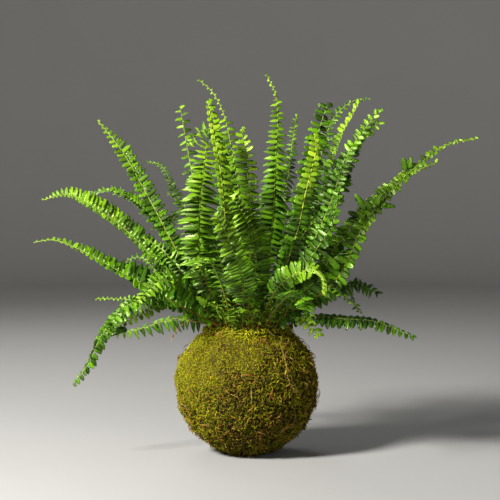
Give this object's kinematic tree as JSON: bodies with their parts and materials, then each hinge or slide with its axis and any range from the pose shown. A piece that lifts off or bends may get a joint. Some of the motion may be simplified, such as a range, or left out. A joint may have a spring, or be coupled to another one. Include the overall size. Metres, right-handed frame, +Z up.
{
  "type": "kokedama moss ball plant",
  "caption": "Fern with arching pinnate fronds growing out of a moss-wrapped ball of soil that rests on a small flat spot.",
  "frame": {"origin": "middle of the flat spot that the moss ball rests on", "axes": "+Z up along the ball's axis, +X to the right across the widest spread of the fronds, +Y towards the back"},
  "size_m": [0.4181, 0.2924, 0.3622],
  "materials": {
    "moss": "matte",
    "soil": "matte",
    "rhizome": "matte",
    "tendril": "satin",
    "dead_stem": "matte",
    "leaf": "satin",
    "young_leaf": "satin"
  },
  "bodies": {
    "root": {"moss_cover": "moss", "soil_ball": "soil", "crown": "rhizome", "runner": "tendril", "dead_stalk": "dead_stem", "frond_01": "leaf", "frond_02": "leaf", "frond_03": "leaf", "frond_04": "leaf", "frond_05": "leaf", "frond_06": "leaf", "frond_07": "leaf", "frond_08": "leaf", "frond_09": "leaf", "frond_10": "leaf", "frond_11": "leaf", "frond_12": "leaf", "frond_13": "leaf", "frond_14": "leaf", "frond_15": "leaf", "frond_16": "young_leaf", "frond_17": "leaf", "frond_18": "leaf", "frond_19": "leaf", "frond_20": "leaf", "frond_21": "young_leaf", "frond_22": "leaf", "frond_23": "leaf", "frond_24": "leaf", "frond_25": "leaf", "frond_26": "leaf", "frond_27": "leaf", "frond_28": "young_leaf", "frond_29": "leaf", "frond_30": "leaf", "frond_31": "leaf", "frond_32": "young_leaf", "frond_33": "leaf", "frond_34": "leaf", "frond_35": "leaf", "frond_36": "leaf", "frond_37": "leaf", "frond_38": "leaf", "frond_39": "leaf", "frond_40": "leaf", "frond_41": "leaf", "frond_42": "leaf", "frond_43": "leaf", "frond_44": "leaf", "frond_45": "leaf", "frond_46": "leaf", "frond_47": "leaf", "frond_48": "leaf", "frond_49": "leaf", "frond_50": "leaf", "frond_51": "leaf", "frond_52": "leaf", "frond_53": "leaf", "frond_54": "leaf", "frond_55": "leaf"}
  },
  "joints": []
}
